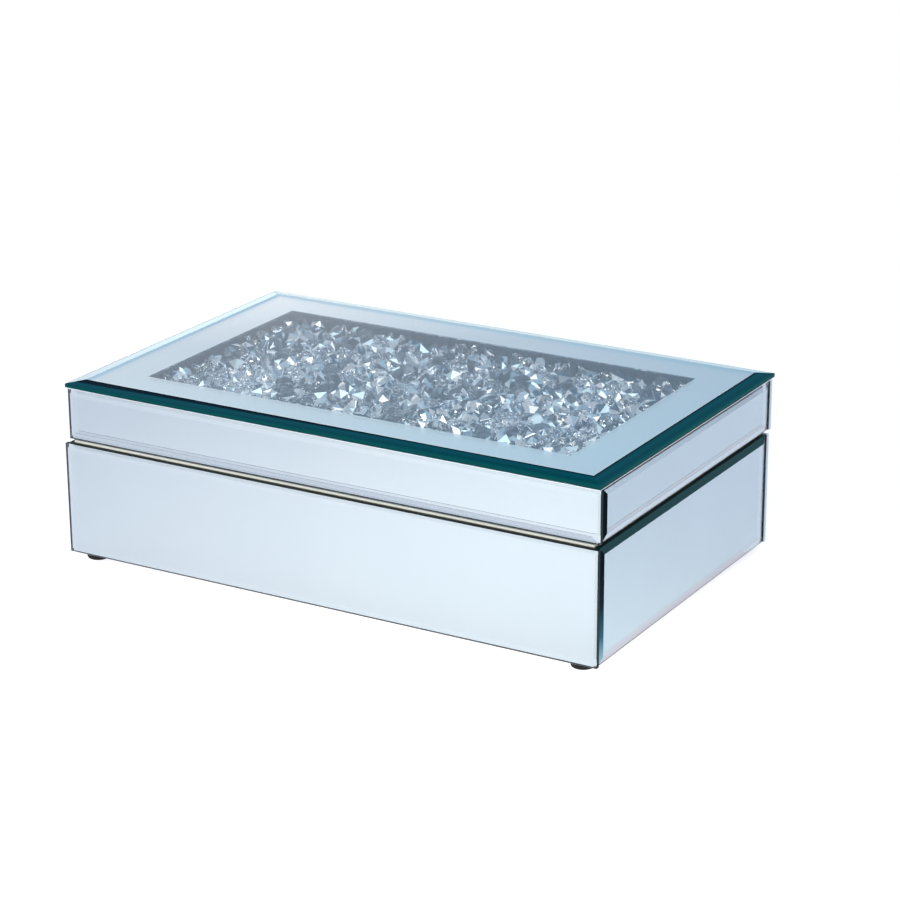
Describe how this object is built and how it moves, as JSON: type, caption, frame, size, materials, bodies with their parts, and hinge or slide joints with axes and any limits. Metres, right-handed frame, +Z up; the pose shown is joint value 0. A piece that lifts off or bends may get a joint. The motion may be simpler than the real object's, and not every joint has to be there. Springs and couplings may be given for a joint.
{
  "type": "mirrored trinket box",
  "caption": "Rectangular trinket box clad in bevelled mirrored glass, with a hinged lid whose clear window shows a bed of loose faceted crystals over a velvet-lined well.",
  "frame": {"origin": "under the middle of the closed box, on the surface that its feet stand on", "axes": "+X along the front to the right, +Y from the front to the hinged back, +Z up"},
  "size_m": [0.278, 0.1808, 0.0868],
  "materials": {
    "mirror_glass": "silvered float glass, polished, with ground and polished bevels",
    "clear_glass": "clear float glass, polished, faint green in the edge",
    "silvering": "mirror silvering, soft and slightly hazy",
    "tray_foil": "silver foil on card, slightly dull",
    "crystal": "clear diamond-cut glass, some facets foil-bright",
    "fibreboard": "raw medium-density fibreboard, matt",
    "ivory_velvet": "short-pile ivory velvet",
    "black_felt": "thin black felt",
    "foot_rubber": "matt black rubber",
    "nickel": "bright nickel plate",
    "screw_steel": "zinc-plated steel"
  },
  "bodies": {
    "base": {"base_mirror_front": "mirror_glass", "base_mirror_back": "mirror_glass", "base_mirror_left": "mirror_glass", "base_mirror_right": "mirror_glass", "base_underside_felt": "black_felt", "base_floor_board": "fibreboard", "base_wall_front": "fibreboard", "base_wall_back": "fibreboard", "base_wall_left": "fibreboard", "base_wall_right": "fibreboard", "base_lining_front": "ivory_velvet", "base_lining_back": "ivory_velvet", "base_lining_left": "ivory_velvet", "base_lining_right": "ivory_velvet", "rim_lining_front": "ivory_velvet", "rim_lining_back": "ivory_velvet", "rim_lining_left": "ivory_velvet", "rim_lining_right": "ivory_velvet", "floor_pad": "ivory_velvet", "foot_front_left": "foot_rubber", "foot_front_right": "foot_rubber", "foot_back_left": "foot_rubber", "foot_back_right": "foot_rubber", "hinge_left_base_leaf": "nickel", "hinge_left_pin": "screw_steel", "hinge_left_base_screw_a": "screw_steel", "hinge_left_base_screw_b": "screw_steel", "hinge_right_base_leaf": "nickel", "hinge_right_pin": "screw_steel", "hinge_right_base_screw_a": "screw_steel", "hinge_right_base_screw_b": "screw_steel"},
    "lid": {"lid_mirror_front": "mirror_glass", "lid_mirror_back": "mirror_glass", "lid_mirror_left": "mirror_glass", "lid_mirror_right": "mirror_glass", "lid_rail_front": "fibreboard", "lid_rail_back": "fibreboard", "lid_rail_left": "fibreboard", "lid_rail_right": "fibreboard", "lid_lining_pad": "ivory_velvet", "lid_inner_board": "fibreboard", "tray_floor_mirror": "silvering", "tray_wall_front": "tray_foil", "tray_wall_back": "tray_foil", "tray_wall_left": "tray_foil", "tray_wall_right": "tray_foil", "crystal_bed": "crystal", "top_plate": "clear_glass", "top_silver_border": "silvering", "hinge_left_lid_leaf": "nickel", "hinge_left_lid_screw_a": "screw_steel", "hinge_left_lid_screw_b": "screw_steel", "hinge_right_lid_leaf": "nickel", "hinge_right_lid_screw_a": "screw_steel", "hinge_right_lid_screw_b": "screw_steel"}
  },
  "joints": [
    {"name": "lid_hinge", "type": "hinge", "parent": "base", "child": "lid", "pos_m": [0, 0.0888, 0.0579], "axis": [-1, 0, 0], "range_deg": [0, 95]}
  ]
}
